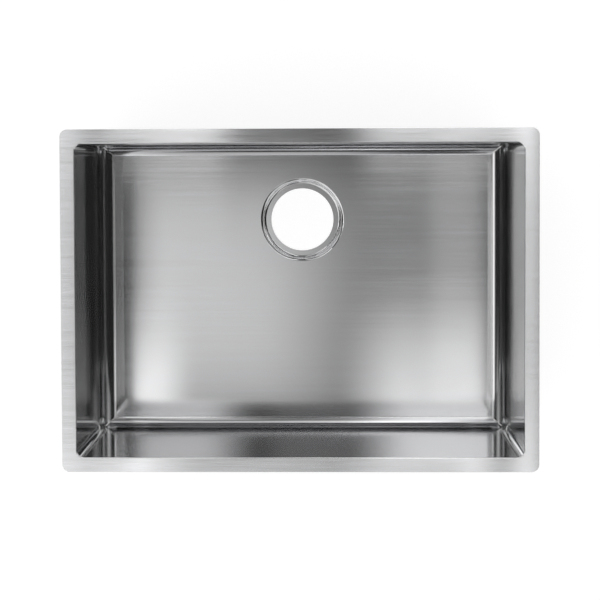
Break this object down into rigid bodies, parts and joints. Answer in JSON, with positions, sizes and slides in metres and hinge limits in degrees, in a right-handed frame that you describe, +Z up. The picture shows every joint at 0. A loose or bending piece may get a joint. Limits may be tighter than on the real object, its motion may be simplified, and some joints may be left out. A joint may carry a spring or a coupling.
{
  "type": "undermount kitchen sink",
  "caption": "Rectangular undermount kitchen sink: one deep brushed steel bowl with a rear drain hole, a flat flange, sound pads and swivelling clips.",
  "frame": {"origin": "centre of the flange's top face, which lies against the counter's underside", "axes": "+Z up, out of the bowl's mouth; +X to the right along the bowl's length; +Y to the rear, where the drain is"},
  "size_m": [0.635, 0.457, 0.2355],
  "materials": {
    "bowl_steel": "satin",
    "pad_rubber": "matte",
    "undercoat": "matte",
    "fixing_steel": "satin",
    "clip_steel": "satin"
  },
  "bodies": {
    "sink": {"rim_flange": "bowl_steel", "floor_pan": "bowl_steel", "left_end": "bowl_steel", "right_end": "bowl_steel", "front_wall": "bowl_steel", "rear_wall": "bowl_steel", "corner_front_left": "bowl_steel", "corner_front_right": "bowl_steel", "corner_rear_left": "bowl_steel", "corner_rear_right": "bowl_steel", "floor_pad_left": "pad_rubber", "floor_pad_right": "pad_rubber", "floor_pad_front": "pad_rubber", "wall_pad_front": "pad_rubber", "wall_pad_rear": "pad_rubber", "wall_pad_left": "pad_rubber", "wall_pad_right": "pad_rubber", "undercoat": "undercoat", "clip_studs": "fixing_steel", "clip_washers": "fixing_steel", "clip_nuts": "fixing_steel"},
    "clip_front_left": {"clip_front_left": "clip_steel"},
    "clip_rear_left": {"clip_rear_left": "clip_steel"},
    "clip_front_middle": {"clip_front_middle": "clip_steel"},
    "clip_rear_middle": {"clip_rear_middle": "clip_steel"},
    "clip_front_right": {"clip_front_right": "clip_steel"},
    "clip_rear_right": {"clip_rear_right": "clip_steel"},
    "clip_left": {"clip_left": "clip_steel"},
    "clip_right": {"clip_right": "clip_steel"}
  },
  "joints": [
    {"name": "clip_front_left_swivel", "type": "hinge", "parent": "sink", "child": "clip_front_left", "pos_m": [-0.21, -0.2195, -0.00385], "axis": [0, 0, 1], "range_deg": [0, 180]},
    {"name": "clip_rear_left_swivel", "type": "hinge", "parent": "sink", "child": "clip_rear_left", "pos_m": [-0.21, 0.2195, -0.00385], "axis": [0, 0, 1], "range_deg": [0, 180]},
    {"name": "clip_front_middle_swivel", "type": "hinge", "parent": "sink", "child": "clip_front_middle", "pos_m": [0, -0.2195, -0.00385], "axis": [0, 0, 1], "range_deg": [0, 180]},
    {"name": "clip_rear_middle_swivel", "type": "hinge", "parent": "sink", "child": "clip_rear_middle", "pos_m": [0, 0.2195, -0.00385], "axis": [0, 0, 1], "range_deg": [0, 180]},
    {"name": "clip_front_right_swivel", "type": "hinge", "parent": "sink", "child": "clip_front_right", "pos_m": [0.21, -0.2195, -0.00385], "axis": [0, 0, 1], "range_deg": [0, 180]},
    {"name": "clip_rear_right_swivel", "type": "hinge", "parent": "sink", "child": "clip_rear_right", "pos_m": [0.21, 0.2195, -0.00385], "axis": [0, 0, 1], "range_deg": [0, 180]},
    {"name": "clip_left_swivel", "type": "hinge", "parent": "sink", "child": "clip_left", "pos_m": [-0.3085, 0, -0.00385], "axis": [0, 0, 1], "range_deg": [0, 180]},
    {"name": "clip_right_swivel", "type": "hinge", "parent": "sink", "child": "clip_right", "pos_m": [0.3085, 0, -0.00385], "axis": [0, 0, 1], "range_deg": [0, 180]}
  ]
}
